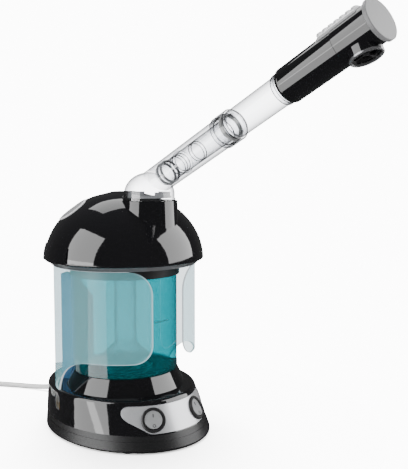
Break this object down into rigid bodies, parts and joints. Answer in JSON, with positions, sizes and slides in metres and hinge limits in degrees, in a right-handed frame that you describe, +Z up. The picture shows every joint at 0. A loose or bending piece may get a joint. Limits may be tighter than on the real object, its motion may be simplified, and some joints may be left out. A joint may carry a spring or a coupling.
{
  "type": "facial steamer",
  "caption": "Tabletop facial steamer: oval base with rocker switches, water tank behind a frosted shell, glossy dome and a telescopic swivelling steam arm.",
  "frame": {"origin": "on the table, on the water tank's upright axis", "axes": "+Z up, -Y towards the front with the switches and the steam arm, +X to the object's right side as seen from the front"},
  "size_m": [0.2079, 0.5568, 0.3766],
  "materials": {
    "gloss_black": "glossy moulded plastic",
    "skirt_grey": "matte moulded plastic",
    "inner_black": "matte moulded plastic",
    "foot_rubber": "matte rubber",
    "seal_rubber": "silicone rubber",
    "steel": "plain steel",
    "panel_silver": "metallic silver plastic",
    "rocker_silver": "pale silver plastic",
    "contact_brass": "plain brass",
    "boiler_metal": "cast aluminium",
    "board_green": "circuit board laminate",
    "tank_teal": "clear teal plastic",
    "mark_white": "printed mark",
    "shell_frost": "frosted translucent plastic",
    "clear_plastic": "clear plastic",
    "white_plastic": "white moulded plastic",
    "lamp_glass": "clear lamp glass",
    "cap_grey": "matte moulded plastic",
    "pad_felt": "felt",
    "cord_white": "soft cable sheath"
  },
  "bodies": {
    "base": {"base_pan": "skirt_grey", "base_housing": "gloss_black", "rubber_feet": "foot_rubber", "base_screws": "steel", "control_panel": "panel_silver", "steam_switch_body": "inner_black", "ozone_switch_body": "inner_black", "switch_terminals": "contact_brass", "boiler_cover": "gloss_black", "boiler_pan": "boiler_metal", "tank_gasket": "seal_rubber", "heater_plate": "boiler_metal", "thermostat": "steel", "thermal_fuse": "steel", "board_posts": "contact_brass", "circuit_board": "board_green", "water_tank": "tank_teal", "level_mark": "mark_white", "steam_riser": "clear_plastic", "frosted_shell": "shell_frost", "wiring_duct": "inner_black", "strain_relief": "foot_rubber", "power_cord": "cord_white", "cord_coil": "cord_white", "cord_tail": "cord_white", "plug_body": "cord_white", "plug_pins": "contact_brass"},
    "dome": {"dome_cover": "gloss_black", "trim_ring": "white_plastic", "dome_lid": "inner_black", "lid_seal": "seal_rubber", "steam_duct": "white_plastic", "lamp_socket": "white_plastic", "ozone_lamp": "lamp_glass", "button_cup_left": "panel_silver", "button_cup_right": "panel_silver", "button_springs": "steel", "swivel_bush": "white_plastic"},
    "button_left": {"release_button_left": "rocker_silver"},
    "button_right": {"release_button_right": "rocker_silver"},
    "arm": {"elbow_tube": "clear_plastic", "retaining_ring": "steel", "detent_ring": "white_plastic", "tube_collar": "clear_plastic", "collar_seal": "seal_rubber"},
    "extension": {"upper_tube": "clear_plastic", "tail_seals": "seal_rubber"},
    "head": {"head_body": "gloss_black", "head_bush": "white_plastic", "nozzle_ring": "panel_silver", "nozzle_grate": "inner_black", "head_grip": "panel_silver"},
    "cap": {"end_cap": "cap_grey", "scent_basket": "white_plastic", "scent_pad": "pad_felt"},
    "steam_rocker": {"steam_rocker": "rocker_silver"},
    "ozone_rocker": {"ozone_rocker": "rocker_silver"}
  },
  "joints": [
    {"name": "dome_lift", "type": "slide", "parent": "base", "child": "dome", "axis": [0, 0, 1], "range_m": [0, 0.12]},
    {"name": "arm_swivel", "type": "hinge", "parent": "dome", "child": "arm", "pos_m": [0, -0.0402, 0.235], "axis": [0, 0, 1], "continuous": true},
    {"name": "arm_extend", "type": "slide", "parent": "arm", "child": "extension", "axis": [0, -0.9063, 0.4226], "range_m": [0, 0.058]},
    {"name": "head_turn", "type": "hinge", "parent": "extension", "child": "head", "pos_m": [0, -0.0402, 0.2425], "axis": [0, -0.9063, 0.4226], "range_deg": [-90, 90]},
    {"name": "cap_pull", "type": "slide", "parent": "head", "child": "cap", "axis": [0, -0.9063, 0.4226], "range_m": [0, 0.02]},
    {"name": "left_button_press", "type": "slide", "parent": "dome", "child": "button_left", "axis": [0.5338, -0.272, -0.8007], "range_m": [0, 0.003], "stiffness_N_per_m": 400, "springref_m": -0.001},
    {"name": "right_button_press", "type": "slide", "parent": "dome", "child": "button_right", "axis": [-0.5338, -0.272, -0.8007], "range_m": [0, 0.003], "stiffness_N_per_m": 400, "springref_m": -0.001},
    {"name": "steam_rock", "type": "hinge", "parent": "base", "child": "steam_rocker", "pos_m": [-0.02553, -0.07526, 0.02749], "axis": [0.9001, -0.4357, 0], "range_deg": [0, 14]},
    {"name": "ozone_rock", "type": "hinge", "parent": "base", "child": "ozone_rocker", "pos_m": [0.02553, -0.07526, 0.02749], "axis": [0.9001, 0.4357, 0], "range_deg": [0, 14]}
  ]
}
